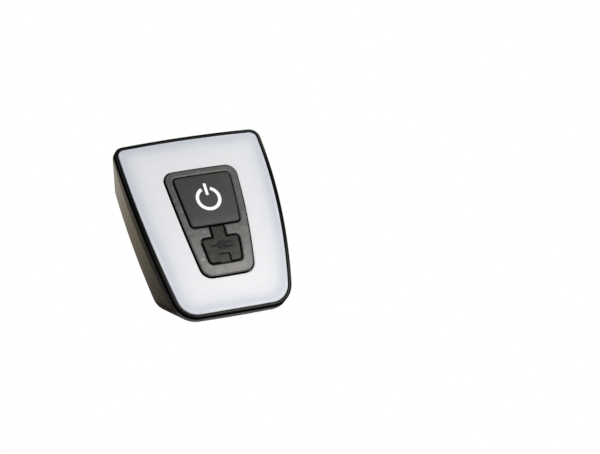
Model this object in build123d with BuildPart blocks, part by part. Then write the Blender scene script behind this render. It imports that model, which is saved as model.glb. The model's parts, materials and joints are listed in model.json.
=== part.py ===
from build123d import *
from collections import namedtuple
from math import atan2, cos, degrees, hypot, pi, radians, sin, sqrt
import os

# A rechargeable clip-on tail light. Millimetres, +Z up, -Y the way the light shines.
# The origin lies on the back of the housing, in the middle of the strap gap behind the clip.
# A depth is a distance in front of the housing's back, so a depth of 5 is at Y = -5.
# A set-back is a distance behind the domed face, measured square to it.

# Face: a bowed trapezoid, wide edge up, on a shallow dome
face_height = 47.5
face_top_width = 38.7
face_bottom_width = 28.8
face_side_bow = 1.6
face_bottom_bow = 0.25
face_top_radius = 2.5
face_bottom_radius = 6.1
face_middle_z = -3.6
crown_radius = 160.0
crown_depth = 21.1

# Back: a smaller trapezoid, so that the housing tapers away from the face
back_height = 36.1
back_top_width = 30.7
back_bottom_width = 25.8
back_side_bow = 0.7
back_bottom_bow = 0.3
back_top_radius = 2.8
back_bottom_radius = 4.8
back_middle_z = 0.3
back_edge_radius = 0.7

# Housing
housing_wall = 1.6
back_wall = 1.8
doubler_height = 1.1
doubler_margin = 1.0
seal_width = 0.6
seal_height = 0.6
seal_inset = 0.5

# Bezel and lens
bezel_band = 1.8
bezel_wall = 0.8
skirt_fit = 0.12
skirt_wall = 1.2
skirt_rear_depth = 12.8
lens_recess = 0.1
lens_thickness = 1.4
lens_fit = 0.08
hook_reach = 0.45
hook_width = 7.0
hook_length = 0.9
hook_fit = 0.15
hook_from_rear = 0.7

# Centre panel with its button and its port cover
panel_height = 29.1
panel_top_width = 19.6
panel_bottom_width = 13.6
panel_side_bow = 0.5
panel_bottom_bow = 0.15
panel_top_radius = 2.7
panel_bottom_radius = 3.1
panel_middle_z = -3.8
panel_rise = 0.3
panel_gap = 0.35
panel_flange = 1.2
panel_flange_setback = 1.6
panel_rear_setback = 2.4
post_radius = 1.1
side_post_x = 6.3
side_post_z = -7.5
bottom_post_z = -16.6
post_screw_radius = 0.5
post_screw_length = 3.2
post_screw_head_height = 0.5
post_screw_fit = 0.1

button_height = 14.0
button_top_width = 15.2
button_bottom_width = 13.0
button_side_bow = 0.12
button_bottom_bow = 0.1
button_top_radius = 1.2
button_bottom_radius = 1.1
button_middle_z = 1.8
button_rise = 0.5
button_gap = 0.3
button_flange = 0.7
button_flange_thickness = 0.6
button_flange_play = 0.05
button_travel = 0.4
stem_radius = 1.5
gasket_thickness = 0.4
gasket_margin = 0.25

cover_height = 6.5
cover_top_width = 9.8
cover_bottom_width = 8.3
cover_top_z = -8.4
cover_radius = 0.9
cover_side_bow = 0.06
cover_bottom_bow = 0.06
cover_rise = 0.3
cover_thickness = 1.3
cover_gap = 0.3
neck_width = 3.5
hinge_z = -7.0
hinge_gap = 0.16
pocket_floor_gap = 0.12
notch_width = 2.8
notch_height = 2.2
notch_depth = 0.6
notch_corner = 0.4
anchor_pin_width = 2.2
anchor_pin_height = 0.7
anchor_pin_z = -6.55
anchor_head_width = 3.6
anchor_head_height = 1.2
anchor_head_gap = 0.3
anchor_head_thickness = 0.5

# Charging port
port_z = -11.7
port_width = 7.6
port_height = 2.7
port_wall = 0.35
port_fit = 0.12
port_corner = 0.8
port_mouth_gap = 0.12
tongue_width = 3.9
tongue_height = 0.6
tongue_lift = 0.45
tongue_setback = 1.5
plug_width = 6.2
plug_height = 1.0
plug_length = 0.9
plug_lift = 0.12
plug_corner = 0.3

# Boards
board_thickness = 0.8
led_board_depth = 15.2
led_board_inset = 3.2
main_board_depth = 13.2
main_board_width = 22.0
main_board_height = 29.0
main_board_middle_z = -1.8
main_board_corner = 2.4
main_board_ledge = 1.7
main_board_margin = 0.6
chip_x = 5.0
chip_z = -12.2
chip_rise = 0.85
charge_chip_size = 4.0
driver_chip_size = 3.4
inductor_x = 5.5
inductor_z = 0.0
inductor_size = 4.2
inductor_rise = 1.0
inductor_corner = 0.9
capacitor_columns = 3
capacitor_rows = 3
capacitor_x = 8.5
capacitor_column_step = 2.4
capacitor_row_step = 2.2
capacitor_width = 1.6
capacitor_height = 0.8
capacitor_rise = 0.7
connector_z = 8.5
connector_width = 9.0
connector_height = 2.0

# Light chips and the push switch
led_count = 18
led_width = 3.5
led_height = 2.4
led_thickness = 0.7
led_ring_inset = 5.8
led_start = 0.02
switch_size = 4.6
switch_height = 1.6
switch_floor = 0.4
switch_corner = 0.4
plunger_radius = 1.2
plunger_fit = 0.12
plunger_reach = 0.6
plunger_rest_gap = 0.1
stem_gap = 0.05

# Reflector
reflector_wall = 0.7
reflector_floor = 0.5
reflector_fit = 0.1
reflector_window_fit = 0.15

# Battery, its foam pad and its frame
battery_width = 20.0
battery_height = 26.0
battery_thickness = 4.6
battery_rear_depth = 5.4
battery_corner = 1.6
battery_edge_radius = 0.6
pad_margin = 1.0
pad_hole_fit = 0.3
battery_middle_z = 0.0
battery_play = 0.3
frame_plate = 1.2
frame_fit = 0.4
frame_rim_inset = 4.4
frame_skirt = 1.0
frame_skirt_length = 3.4
frame_boss_radius = 1.8
frame_boss_fit = 0.15
frame_boss_x = 12.6
frame_boss_top_z = 12.4
frame_boss_bottom_x = 7.6
frame_boss_bottom_z = -15.7
frame_screw_radius = 0.7
frame_screw_fit = 0.1
frame_screw_head_radius = 1.3
frame_screw_head_height = 0.8
frame_screw_length = 5.0
lead_radius = 0.4
lead_spacing = 2.2
lead_x = -3.0
lead_arc = 0.9
lead_overlap = 1.0

# Clip: a plate let into the back, a screw, a barb and a slotted spring arm
clip_width = 14.2
clip_thickness = 2.1
arm_root_z = 15.7
bend_corner_y = 6.68
bend_corner_z = 13.3
bend_radius = 2.2
leg_lean = 10.1
leg_length = 26.6
leg_tip_radius = 5.5
leg_edge_chamfer = 0.3
slot_width = 7.0
slot_from_corner = 3.45
slot_length = 20.1
slot_radius = 3.0
knuckle_y = 2.4
knuckle_gap = 0.2
plate_half_width = 8.2
plate_top_z = 17.0
plate_bottom_z = -9.6
plate_thickness = 1.5
plate_proud = 0.4
plate_fit = 0.1
plate_corner = 1.8
barb_width = 1.0
barb_thickness = 1.4
barb_foot_z = -8.2
barb_tip_y = 4.65
barb_tip_z = -0.1
clip_screw_z = 6.6
clip_screw_radius = 1.25
clip_screw_head_radius = 2.8
clip_screw_length = 5.0
clip_screw_fit = 0.12
nut_radius = 1.9
nut_length = 3.5
nut_boss_wall = 1.3
nut_boss_cap = 0.6

# The least corner radius of an outline that is moved inward, what a cutter runs past a face,
# how deep a piece that is added to another is sunk into it, and a size larger than the light
least_radius = 0.3
overshoot = 1.0
sunk = 0.3
beyond = 100.0

# Places worked out from the sizes above
half_diagonal = hypot(face_top_width / 2, face_height / 2)
corner_sag = crown_radius - sqrt(crown_radius**2 - half_diagonal**2)
mouth_depth = crown_depth - corner_sag - bezel_band
crown_centre = (0, crown_radius - crown_depth, face_middle_z)
pocket_setback = lens_recess + lens_thickness
button_rear_setback = panel_rear_setback + button_flange_play + button_flange_thickness
cover_floor_setback = cover_thickness + pocket_floor_gap
cover_middle_z = cover_top_z - cover_height / 2


def crown_depth_at(x, z, setback=0.0):
    """Depth of the domed face, or of a surface set back from it, at one point of the front view."""
    radius = crown_radius - setback
    return crown_depth - crown_radius + sqrt(radius**2 - x**2 - (z - face_middle_z) ** 2)


Trapezoid = namedtuple(
    "Trapezoid", "top_width bottom_width height middle_z side_bow bottom_bow top_radius bottom_radius"
)
face = Trapezoid(
    face_top_width, face_bottom_width, face_height, face_middle_z,
    face_side_bow, face_bottom_bow, face_top_radius, face_bottom_radius,
)
back = Trapezoid(
    back_top_width, back_bottom_width, back_height, back_middle_z,
    back_side_bow, back_bottom_bow, back_top_radius, back_bottom_radius,
)
panel = Trapezoid(
    panel_top_width, panel_bottom_width, panel_height, panel_middle_z,
    panel_side_bow, panel_bottom_bow, panel_top_radius, panel_bottom_radius,
)
button = Trapezoid(
    button_top_width, button_bottom_width, button_height, button_middle_z,
    button_side_bow, button_bottom_bow, button_top_radius, button_bottom_radius,
)
cover = Trapezoid(
    cover_top_width, cover_bottom_width, cover_height, cover_middle_z,
    cover_side_bow, cover_bottom_bow, cover_radius, cover_radius,
)


def bowed_outline(shape, growth=0.0):
    """A trapezoid with a straight top, bowed sides and bottom, and rounded corners, grown all round."""
    height = shape.height + 2 * growth
    top_z = shape.middle_z + height / 2
    bottom_z = shape.middle_z - height / 2
    flare = (shape.top_width - shape.bottom_width) / 2 / shape.height
    side_growth = growth * hypot(1, flare)
    half_top = shape.top_width / 2 + side_growth + flare * growth
    half_bottom = shape.bottom_width / 2 + side_growth - flare * growth
    bow_share = (height / shape.height) ** 2
    side_x = (half_top + half_bottom) / 2 + shape.side_bow * bow_share
    with BuildSketch() as outline:
        with BuildLine():
            top = Line((-half_top, top_z), (half_top, top_z))
            right = ThreePointArc(top @ 1, (side_x, shape.middle_z), (half_bottom, bottom_z))
            bottom = ThreePointArc(
                right @ 1, (0, bottom_z - shape.bottom_bow * bow_share), (-half_bottom, bottom_z)
            )
            ThreePointArc(bottom @ 1, (-side_x, shape.middle_z), top @ 0)
        make_face()
        fillet(outline.vertices().group_by(Axis.Y)[-1], max(shape.top_radius + growth, least_radius))
        fillet(outline.vertices().group_by(Axis.Y)[0], max(shape.bottom_radius + growth, least_radius))
    return outline.sketch


def hull_shape(depth):
    """The housing's trapezoid at a depth: from the back's to the face's, then straight."""
    share = min(depth / mouth_depth, 1.0)
    return Trapezoid(*(rear + (front - rear) * share for rear, front in zip(back, face)))


def hull_section(depth, inset=0.0):
    """The housing's outline at a depth, moved inward by an inset."""
    return bowed_outline(hull_shape(depth), -inset)


def hull_block(start, end, inset=0.0):
    """A solid with the housing's taper between two depths, moved inward by an inset."""
    with BuildPart() as block:
        if start < mouth_depth:
            taper_end = min(end, mouth_depth)
            with BuildSketch(Plane.XZ.offset(start)):
                add(hull_section(start, inset))
            with BuildSketch(Plane.XZ.offset(taper_end)):
                add(hull_section(taper_end, inset))
            loft(ruled=True)
        if end > mouth_depth:
            straight_start = max(start, mouth_depth)
            with BuildSketch(Plane.XZ.offset(straight_start)):
                add(hull_section(mouth_depth, inset))
            extrude(amount=end - straight_start)
    return block.part


def hull_ring(start, end, outer_inset, inner_inset):
    """A wall that follows the housing between two insets."""
    with BuildPart() as wall:
        add(hull_block(start, end, outer_inset))
        add(hull_block(start - overshoot, end + overshoot, inner_inset), mode=Mode.SUBTRACT)
    return wall.part


def crown_slab(outline, front_setback, rear_setback):
    """A domed slab of one outline between two surfaces set back from the face."""
    with BuildPart() as slab:
        with BuildSketch(Plane.XZ):
            add(outline)
        extrude(amount=crown_depth + overshoot)
        with Locations(crown_centre):
            Sphere(crown_radius - front_setback, mode=Mode.INTERSECT)
            Sphere(crown_radius - rear_setback, mode=Mode.SUBTRACT)
    return slab.part


def prism(outline, start, end):
    """A straight solid of one outline between two depths."""
    with BuildPart() as block:
        with BuildSketch(Plane.XZ.offset(start)):
            add(outline)
        extrude(amount=end - start)
    return block.part


def rectangle_at(x, z, width, height, corner=0.0, growth=0.0):
    """A rectangle in the front view, rounded where a corner is given, grown all round."""
    with BuildSketch() as outline:
        with Locations((x, z)):
            if corner:
                RectangleRounded(width + 2 * growth, height + 2 * growth, corner + growth)
            else:
                Rectangle(width + 2 * growth, height + 2 * growth)
    return outline.sketch


def circles_at(places, radius):
    """Equal circles at places of the front view."""
    with BuildSketch() as outline:
        with Locations(*places):
            Circle(radius)
    return outline.sketch


def ring(outer, inner):
    """What lies between two outlines."""
    with BuildSketch() as outline:
        add(outer)
        add(inner, mode=Mode.SUBTRACT)
    return outline.sketch


button_bottom_z = button_middle_z - button_height / 2
neck_top_z = button_bottom_z - button_gap
neck_height = neck_top_z - cover_top_z + cover_radius


def cover_outline(growth=0.0):
    """The port cover with its neck, grown all round."""
    with BuildSketch() as outline:
        add(bowed_outline(cover, growth))
        add(rectangle_at(0, neck_top_z - neck_height / 2, neck_width, neck_height, growth=growth))
    return outline.sketch


post_places = [(-side_post_x, side_post_z), (side_post_x, side_post_z), (0, bottom_post_z)]
frame_boss_places = [
    (-frame_boss_x, frame_boss_top_z),
    (frame_boss_x, frame_boss_top_z),
    (-frame_boss_bottom_x, frame_boss_bottom_z),
    (frame_boss_bottom_x, frame_boss_bottom_z),
]

# Depths of the inner stack
battery_front_depth = battery_rear_depth + battery_thickness
frame_depth = battery_front_depth + battery_play
frame_front_depth = frame_depth + frame_plate
led_board_rear_depth = led_board_depth - board_thickness
main_board_rear_depth = main_board_depth - board_thickness
switch_front_depth = led_board_depth + switch_height
plunger_front_depth = switch_front_depth + plunger_reach
port_mouth_depth = crown_depth_at(0, port_z, cover_floor_setback) - port_mouth_gap
plate_pocket = plate_thickness - plate_proud

# Rear housing: a tapered shell, open at the face, with the clip's pocket in its back
hook_depth = skirt_rear_depth + hook_from_rear
plate_outline_height = plate_top_z - plate_bottom_z
plate_middle_z = (plate_top_z + plate_bottom_z) / 2


def plate_outline(growth=0.0):
    """The clip plate, a rectangle with cut corners, grown all round."""
    with BuildSketch() as outline:
        with Locations((0, plate_middle_z)):
            Rectangle(2 * (plate_half_width + growth), plate_outline_height + 2 * growth)
        chamfer(outline.vertices(), plate_corner + growth * (2 - sqrt(2)))
    return outline.sketch


def hook_places():
    """Centre and turn of each snap hook on the skirt: right, left, top and bottom."""
    shape = hull_shape(hook_depth)
    inset = housing_wall + skirt_fit
    side_x = (shape.top_width + shape.bottom_width) / 4 + shape.side_bow - inset
    lean_in = degrees(atan2((shape.top_width - shape.bottom_width) / 2, shape.height))
    return [
        ((side_x, shape.middle_z), 90 - lean_in),
        ((-side_x, shape.middle_z), 90 + lean_in),
        ((0, shape.middle_z + shape.height / 2 - inset), 0),
        ((0, shape.middle_z - shape.height / 2 - shape.bottom_bow + inset), 0),
    ]


def hook_bars(reach, width, length):
    """Bars that stand out of the skirt's outer face, used for the hooks and for their slots."""
    with BuildPart() as bars:
        for place, turn in hook_places():
            with BuildSketch(Plane.XZ.offset(hook_depth)):
                with Locations(place):
                    Rectangle(width, 2 * reach, rotation=turn)
            extrude(amount=length / 2, both=True)
    return bars.part


housing_form = hull_block(0, crown_depth)
housing_cavity = hull_block(back_wall, crown_depth + overshoot, housing_wall)
hook_slots = hook_bars(hook_reach + hook_fit, hook_width + 2 * hook_fit, hook_length + 2 * hook_fit)
seal_outline = ring(bowed_outline(face, -seal_inset), bowed_outline(face, -seal_inset - seal_width))
seal_ring = crown_slab(seal_outline, bezel_band, bezel_band + seal_height)
nut_boss_radius = nut_radius + nut_boss_wall
nut_rear_depth = plate_pocket
nut_front_depth = nut_rear_depth + nut_length
nut_boss_depth = nut_front_depth + nut_boss_cap
nut_place = [(0, clip_screw_z)]
frame_screw_end_depth = frame_front_depth - frame_screw_length
with BuildPart() as inner_supports:
    add(prism(plate_outline(doubler_margin), back_wall, back_wall + doubler_height))
    add(prism(circles_at(frame_boss_places, frame_boss_radius), back_wall, frame_depth))
    add(prism(circles_at(nut_place, nut_boss_radius), back_wall, nut_boss_depth))
    add(housing_form, mode=Mode.INTERSECT)

with BuildPart() as rear_housing:
    add(housing_form)
    fillet(rear_housing.faces().sort_by(Axis.Y)[-1].edges(), back_edge_radius)
    with Locations(crown_centre):
        Sphere(crown_radius - bezel_band, mode=Mode.INTERSECT)
    add(housing_cavity, mode=Mode.SUBTRACT)
    add(hook_slots, mode=Mode.SUBTRACT)
    add(seal_ring, mode=Mode.SUBTRACT)
    add(inner_supports.part)
    add(
        prism(circles_at(frame_boss_places, frame_screw_radius), frame_screw_end_depth - sunk, frame_depth),
        mode=Mode.SUBTRACT,
    )
    add(prism(plate_outline(plate_fit), 0, plate_pocket), mode=Mode.SUBTRACT)
    add(prism(circles_at(nut_place, nut_radius), 0, nut_front_depth), mode=Mode.SUBTRACT)
rear_housing.part.label = "rear_housing"

with BuildPart() as housing_seal:
    add(seal_ring)
housing_seal.part.label = "housing_seal"

# Bezel: a gloss band round the lens, with a skirt and four snap hooks inside the housing
lens_pocket = crown_slab(bowed_outline(face, -bezel_wall), 0, pocket_setback)
skirt_inset = housing_wall + skirt_fit
skirt_front_setback = (pocket_setback + bezel_band) / 2
skirt_rear_shape = hull_shape(skirt_rear_depth)
skirt_top_z = skirt_rear_shape.middle_z + skirt_rear_shape.height / 2 - skirt_inset - skirt_wall
skirt_form = hull_block(skirt_rear_depth, crown_depth, skirt_inset)
skirt_bore = hull_block(skirt_rear_depth - overshoot, crown_depth + overshoot, skirt_inset + skirt_wall)
hooks = hook_bars(hook_reach, hook_width, hook_length)
with BuildPart() as front_bezel:
    add(skirt_form)
    with Locations(crown_centre):
        Sphere(crown_radius - skirt_front_setback, mode=Mode.INTERSECT)
    add(hooks)
    add(crown_slab(bowed_outline(face), 0, bezel_band))
    add(skirt_bore, mode=Mode.SUBTRACT)
    add(lens_pocket, mode=Mode.SUBTRACT)
front_bezel.part.label = "front_bezel"

# Diffuser lens: a domed milky plate with an opening for the centre panel
with BuildPart() as diffuser_lens:
    add(crown_slab(bowed_outline(face, -bezel_wall - lens_fit), lens_recess, pocket_setback))
    add(crown_slab(bowed_outline(panel, panel_gap), 0, pocket_setback + overshoot), mode=Mode.SUBTRACT)
diffuser_lens.part.label = "diffuser_lens"

post_screw_end_depth = led_board_rear_depth + post_screw_length
anchor_pin_outline = rectangle_at(0, anchor_pin_z, anchor_pin_width, anchor_pin_height)


def port_outline(growth=0.0):
    """The charging port's shell, grown all round."""
    return rectangle_at(0, port_z, port_width, port_height, port_corner, growth)


# Centre panel: frame for the button, pocket for the port cover, flange behind the lens, three posts
with BuildPart() as centre_panel:
    add(prism(circles_at(post_places, post_radius), led_board_depth, crown_depth))
    with Locations(crown_centre):
        Sphere(crown_radius - panel_flange_setback, mode=Mode.INTERSECT)
    add(crown_slab(bowed_outline(panel), -panel_rise, panel_rear_setback))
    add(crown_slab(bowed_outline(panel, panel_flange), panel_flange_setback, panel_rear_setback))
    add(
        prism(bowed_outline(button, button_gap), led_board_depth, crown_depth + overshoot),
        mode=Mode.SUBTRACT,
    )
    add(
        crown_slab(
            bowed_outline(button, button_flange), panel_rear_setback - gasket_thickness, panel_rear_setback
        ),
        mode=Mode.SUBTRACT,
    )
    add(crown_slab(cover_outline(cover_gap), -overshoot, cover_floor_setback), mode=Mode.SUBTRACT)
    add(
        prism(port_outline(port_fit), led_board_depth, crown_depth),
        mode=Mode.SUBTRACT,
    )
    add(
        prism(anchor_pin_outline, led_board_depth, crown_depth),
        mode=Mode.SUBTRACT,
    )
    add(
        prism(circles_at(post_places, post_screw_radius), led_board_depth, post_screw_end_depth + sunk),
        mode=Mode.SUBTRACT,
    )
centre_panel.part.label = "centre_panel"

switch_place = [(0, button_middle_z)]

# Power button: a soft cap with a flange behind the panel and a stem to the switch
stem_end_depth = plunger_front_depth + stem_gap
stem_root_depth = crown_depth - button_rear_setback + sunk
button_flange_setback = button_rear_setback - button_flange_thickness
with BuildPart() as power_button:
    add(prism(circles_at(switch_place, stem_radius), stem_end_depth, stem_root_depth))
    add(crown_slab(bowed_outline(button), -button_rise, button_rear_setback))
    add(crown_slab(bowed_outline(button, button_flange), button_flange_setback, button_rear_setback))
power_button.part.label = "power_button"

with BuildPart() as button_gasket:
    add(crown_slab(
        ring(bowed_outline(button, button_flange), bowed_outline(button, button_gap + gasket_margin)),
        panel_rear_setback - gasket_thickness, panel_rear_setback,
    ))
button_gasket.part.label = "button_gasket"

# Port cover: a cover, its plug and the free half of its soft hinge
plug_end_depth = crown_depth_at(0, port_z, cover_thickness) - plug_length
cover_bottom_z = cover_top_z - cover_height
with BuildPart() as port_flap:
    add(crown_slab(cover_outline(), -cover_rise, cover_thickness))
    add(
        prism(rectangle_at(0, hinge_z - hinge_gap / 2 + beyond / 2, beyond, beyond), 0, beyond),
        mode=Mode.SUBTRACT,
    )
    add(
        crown_slab(
            rectangle_at(0, cover_bottom_z, notch_width, 2 * notch_height, notch_corner),
            -overshoot, notch_depth - cover_rise,
        ),
        mode=Mode.SUBTRACT,
    )
    add(prism(
        rectangle_at(0, port_z + plug_lift, plug_width, plug_height, plug_corner),
        plug_end_depth, plug_end_depth + plug_length + sunk,
    ))
port_flap.part.label = "port_flap"

# Flap anchor: the fixed half of the soft hinge, pinned through the panel
anchor_top_z = neck_top_z
anchor_bottom_z = hinge_z + hinge_gap / 2
anchor_outline = rectangle_at(
    0, (anchor_top_z + anchor_bottom_z) / 2, neck_width, anchor_top_z - anchor_bottom_z
)
anchor_head_z = button_bottom_z - button_flange - anchor_head_gap - anchor_head_height / 2
with BuildPart() as flap_anchor:
    add(crown_slab(anchor_outline, -cover_rise, cover_floor_setback))
    add(crown_slab(anchor_pin_outline, cover_floor_setback, panel_rear_setback + anchor_head_thickness))
    add(crown_slab(
        rectangle_at(0, anchor_head_z, anchor_head_width, anchor_head_height),
        panel_rear_setback, panel_rear_setback + anchor_head_thickness,
    ))
flap_anchor.part.label = "flap_anchor"

# LED board with its chips, and the reflector that stands on it
led_board_outline = hull_section(led_board_rear_depth, led_board_inset)
with BuildPart() as led_board:
    add(prism(led_board_outline, led_board_rear_depth, led_board_depth))
    add(
        prism(
            circles_at(post_places, post_screw_radius + post_screw_fit), led_board_rear_depth, led_board_depth
        ),
        mode=Mode.SUBTRACT,
    )
led_board.part.label = "led_board"

led_path = hull_section(led_board_depth, led_ring_inset).wire()


def led_outline(growth=0.0):
    """The chips' outlines, spaced evenly on a ring midway between the panel and the bezel."""
    with BuildSketch() as chips:
        for number in range(led_count):
            share = led_start + number / led_count
            place = led_path.position_at(share)
            heading = led_path.tangent_at(share)
            turn = degrees(atan2(heading.Y, heading.X))
            with Locations((place.X, place.Y)):
                Rectangle(led_width + 2 * growth, led_height + 2 * growth, rotation=turn)
    return chips.sketch


with BuildPart() as led_chips:
    add(prism(led_outline(), led_board_depth, led_board_depth + led_thickness))
led_chips.part.label = "led_chips"

reflector_inset = led_board_inset + reflector_fit
reflector_floor_depth = led_board_depth + reflector_floor
panel_room = panel_flange + reflector_fit
with BuildPart() as light_channel:
    add(hull_block(reflector_floor_depth, crown_depth + overshoot, reflector_inset + reflector_wall))
    add(
        prism(bowed_outline(panel, panel_room + reflector_wall), led_board_depth, crown_depth + overshoot),
        mode=Mode.SUBTRACT,
    )
with BuildPart() as reflector:
    add(hull_block(led_board_depth, crown_depth, reflector_inset))
    with Locations(crown_centre):
        Sphere(crown_radius - pocket_setback - reflector_fit, mode=Mode.INTERSECT)
    add(light_channel.part, mode=Mode.SUBTRACT)
    add(prism(bowed_outline(panel, panel_room), led_board_depth, crown_depth), mode=Mode.SUBTRACT)
    add(
        prism(led_outline(reflector_window_fit), led_board_depth, led_board_depth + led_thickness + sunk),
        mode=Mode.SUBTRACT,
    )
reflector.part.label = "reflector"

# Push switch under the button
plunger_hole_depth = led_board_depth + switch_floor
with BuildPart() as switch_body:
    add(prism(
        rectangle_at(0, button_middle_z, switch_size, switch_size, switch_corner),
        led_board_depth, switch_front_depth,
    ))
    add(
        prism(circles_at(switch_place, plunger_radius + plunger_fit), plunger_hole_depth, switch_front_depth),
        mode=Mode.SUBTRACT,
    )
switch_body.part.label = "switch_body"

plunger_rear_depth = plunger_hole_depth + button_travel + plunger_rest_gap
with BuildPart() as switch_plunger:
    add(prism(circles_at(switch_place, plunger_radius), plunger_rear_depth, plunger_front_depth))
switch_plunger.part.label = "switch_plunger"

# Charging port: a pressed shell round a tongue
with BuildPart() as charge_port:
    add(prism(port_outline(), led_board_depth, port_mouth_depth))
    add(prism(port_outline(-port_wall), led_board_depth + port_wall, port_mouth_depth), mode=Mode.SUBTRACT)
charge_port.part.label = "charge_port"

with BuildPart() as port_tongue:
    add(prism(
        rectangle_at(0, port_z - tongue_lift, tongue_width, tongue_height),
        led_board_depth + port_wall, port_mouth_depth - tongue_setback,
    ))
port_tongue.part.label = "port_tongue"

# Main board with its parts, behind the LED board


def main_board_outline(growth=0.0):
    """The main board, grown all round."""
    return rectangle_at(
        0, main_board_middle_z, main_board_width, main_board_height, main_board_corner, growth
    )


with BuildPart() as main_board:
    add(prism(main_board_outline(), main_board_rear_depth, main_board_depth))
main_board.part.label = "main_board"


def board_blocks(places, width, height, rise):
    """Equal flat blocks that stand on the front of the main board."""
    with BuildPart() as blocks:
        with BuildSketch(Plane.XZ.offset(main_board_depth)):
            with Locations(*places):
                Rectangle(width, height)
        extrude(amount=rise)
    return blocks.part


with BuildPart() as charge_chip:
    add(board_blocks([(-chip_x, chip_z)], charge_chip_size, charge_chip_size, chip_rise))
charge_chip.part.label = "charge_chip"

with BuildPart() as driver_chip:
    add(board_blocks([(chip_x, chip_z)], driver_chip_size, driver_chip_size, chip_rise))
driver_chip.part.label = "driver_chip"

with BuildPart() as power_inductor:
    add(board_blocks([(inductor_x, inductor_z)], inductor_size, inductor_size, inductor_rise))
    fillet(power_inductor.edges().filter_by(Axis.Y), inductor_corner)
power_inductor.part.label = "power_inductor"

capacitor_places = [
    (-capacitor_x + capacitor_column_step * column, capacitor_row_step * row)
    for column in range(capacitor_columns)
    for row in range(capacitor_rows)
]
with BuildPart() as chip_capacitors:
    add(board_blocks(capacitor_places, capacitor_width, capacitor_height, capacitor_rise))
chip_capacitors.part.label = "chip_capacitors"

with BuildPart() as board_connector:
    add(board_blocks(
        [(0, connector_z)], connector_width, connector_height, led_board_rear_depth - main_board_depth
    ))
board_connector.part.label = "board_connector"

# Frame: holds the battery down and carries both boards
frame_inset = housing_wall + frame_fit


def battery_outline(growth=0.0):
    """The battery, grown all round."""
    return rectangle_at(0, battery_middle_z, battery_width, battery_height, battery_corner, growth)


battery_top_z = battery_middle_z + battery_height / 2
lead_top_z = (battery_top_z + skirt_top_z) / 2
lead_slot_height = lead_top_z - battery_top_z + 3 * lead_radius
lead_slot = rectangle_at(
    lead_x, battery_top_z + lead_slot_height / 2, lead_spacing + 4 * lead_radius, lead_slot_height
)
frame_skirt_rear_depth = frame_depth - frame_skirt_length
ledge_outline = ring(
    main_board_outline(-main_board_margin), main_board_outline(-main_board_margin - main_board_ledge)
)
with BuildPart() as inner_frame:
    add(prism(hull_section(frame_depth, frame_inset), frame_depth, frame_front_depth))
    add(prism(battery_outline(battery_play + frame_skirt), frame_skirt_rear_depth, frame_depth))
    add(prism(battery_outline(battery_play), frame_skirt_rear_depth, frame_depth), mode=Mode.SUBTRACT)
    add(hull_ring(frame_front_depth, led_board_rear_depth, led_board_inset, frame_rim_inset))
    add(prism(ledge_outline, frame_front_depth, main_board_rear_depth))
    add(prism(lead_slot, 0, led_board_rear_depth), mode=Mode.SUBTRACT)
    add(
        prism(circles_at(frame_boss_places, frame_boss_radius + frame_boss_fit), 0, frame_depth),
        mode=Mode.SUBTRACT,
    )
    add(
        prism(
            circles_at(frame_boss_places, frame_screw_radius + frame_screw_fit),
            frame_depth, frame_front_depth,
        ),
        mode=Mode.SUBTRACT,
    )
    add(
        prism(
            circles_at(frame_boss_places, frame_screw_head_radius + frame_screw_fit),
            frame_front_depth, led_board_rear_depth,
        ),
        mode=Mode.SUBTRACT,
    )
inner_frame.part.label = "inner_frame"

with BuildPart() as frame_screws:
    add(prism(circles_at(frame_boss_places, frame_screw_radius), frame_screw_end_depth, frame_front_depth))
    add(prism(
        circles_at(frame_boss_places, frame_screw_head_radius),
        frame_front_depth, frame_front_depth + frame_screw_head_height,
    ))
frame_screws.part.label = "frame_screws"

with BuildPart() as panel_screws:
    add(prism(circles_at(post_places, post_screw_radius), led_board_rear_depth, post_screw_end_depth))
    add(prism(
        circles_at(post_places, 2 * post_screw_radius),
        led_board_rear_depth - post_screw_head_height, led_board_rear_depth,
    ))
panel_screws.part.label = "panel_screws"

# Battery: a flat pouch on a foam pad, with two leads to the main board
with BuildPart() as battery_cell:
    add(prism(battery_outline(), battery_rear_depth, battery_front_depth))
    fillet(battery_cell.edges().filter_by(Plane.XZ), battery_edge_radius)
battery_cell.part.label = "battery_cell"

pad_rear_depth = back_wall + doubler_height
with BuildPart() as battery_pad:
    add(prism(battery_outline(-pad_margin), pad_rear_depth, battery_rear_depth))
    add(
        prism(circles_at(nut_place, nut_boss_radius + pad_hole_fit), pad_rear_depth, battery_rear_depth),
        mode=Mode.SUBTRACT,
    )
battery_pad.part.label = "battery_pad"

lead_start_depth = (battery_rear_depth + battery_front_depth) / 2
lead_end_depth = main_board_depth + lead_radius
lead_end_z = main_board_middle_z + main_board_height / 2 - lead_overlap


def lead_tube(x):
    """One lead: up from the battery's edge, forward through the frame and down onto the board."""
    with BuildPart() as tube:
        with BuildLine() as route:
            FilletPolyline(
                (x, -lead_start_depth, battery_top_z),
                (x, -lead_start_depth, lead_top_z),
                (x, -lead_end_depth, lead_top_z),
                (x, -lead_end_depth, lead_end_z),
                radius=lead_arc,
            )
        with BuildSketch(Plane(origin=route.line @ 0, z_dir=route.line % 0)):
            Circle(lead_radius)
        sweep()
    plain_volume = pi * lead_radius**2 * route.wires()[0].length
    print("lead volume over section times length", tube.part.volume / plain_volume)
    return tube.part


with BuildPart() as battery_leads:
    add(lead_tube(lead_x - lead_spacing / 2))
    add(lead_tube(lead_x + lead_spacing / 2))
battery_leads.part.label = "battery_leads"

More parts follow.
